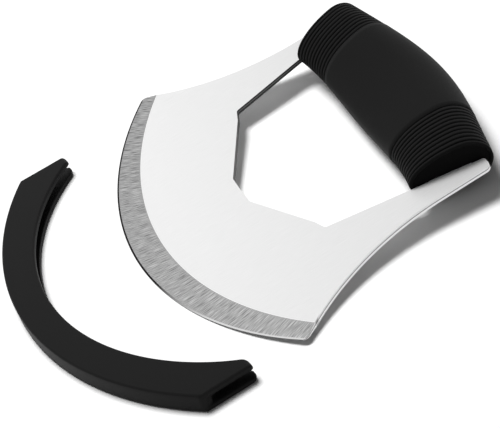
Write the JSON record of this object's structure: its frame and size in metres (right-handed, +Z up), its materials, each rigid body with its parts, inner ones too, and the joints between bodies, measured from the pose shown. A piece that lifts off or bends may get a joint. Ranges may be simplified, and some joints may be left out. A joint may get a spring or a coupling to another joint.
{
  "type": "mezzaluna with blade guard",
  "caption": "Mezzaluna with a crescent blade on two arms, a bowed soft-grip handle between them, and a crescent guard taken off the edge.",
  "frame": {"origin": "on the table, under the middle of the bounding box of the mezzaluna and its guard as they lie", "axes": "+Z up from the table, +X along the handle towards the end nearer the picture's camera, +Y from the cutting edge towards the handle"},
  "size_m": [0.1766, 0.1788, 0.026],
  "materials": {
    "blade_steel": "satin, brushed from the edge towards the handle",
    "rivet_steel": "plain",
    "core_plastic": "black, smooth",
    "soft_grip": "black, soft matte",
    "guard_plastic": "black, fine matte"
  },
  "bodies": {
    "mezzaluna": {"blade": "blade_steel", "handle_core_upper": "core_plastic", "handle_core_lower": "core_plastic", "handle_rivet_near": "rivet_steel", "handle_rivet_middle": "rivet_steel", "handle_rivet_far": "rivet_steel", "handle_grip": "soft_grip"},
    "guard": {"blade_guard": "guard_plastic"}
  },
  "joints": [
    {"name": "guard_on_edge", "type": "hinge", "parent": "mezzaluna", "child": "guard", "pos_m": [0.1544, 0.00975, 0.21002], "axis": [0.6801, 0.1769, -0.7115], "range_deg": [0, 9.58]}
  ]
}
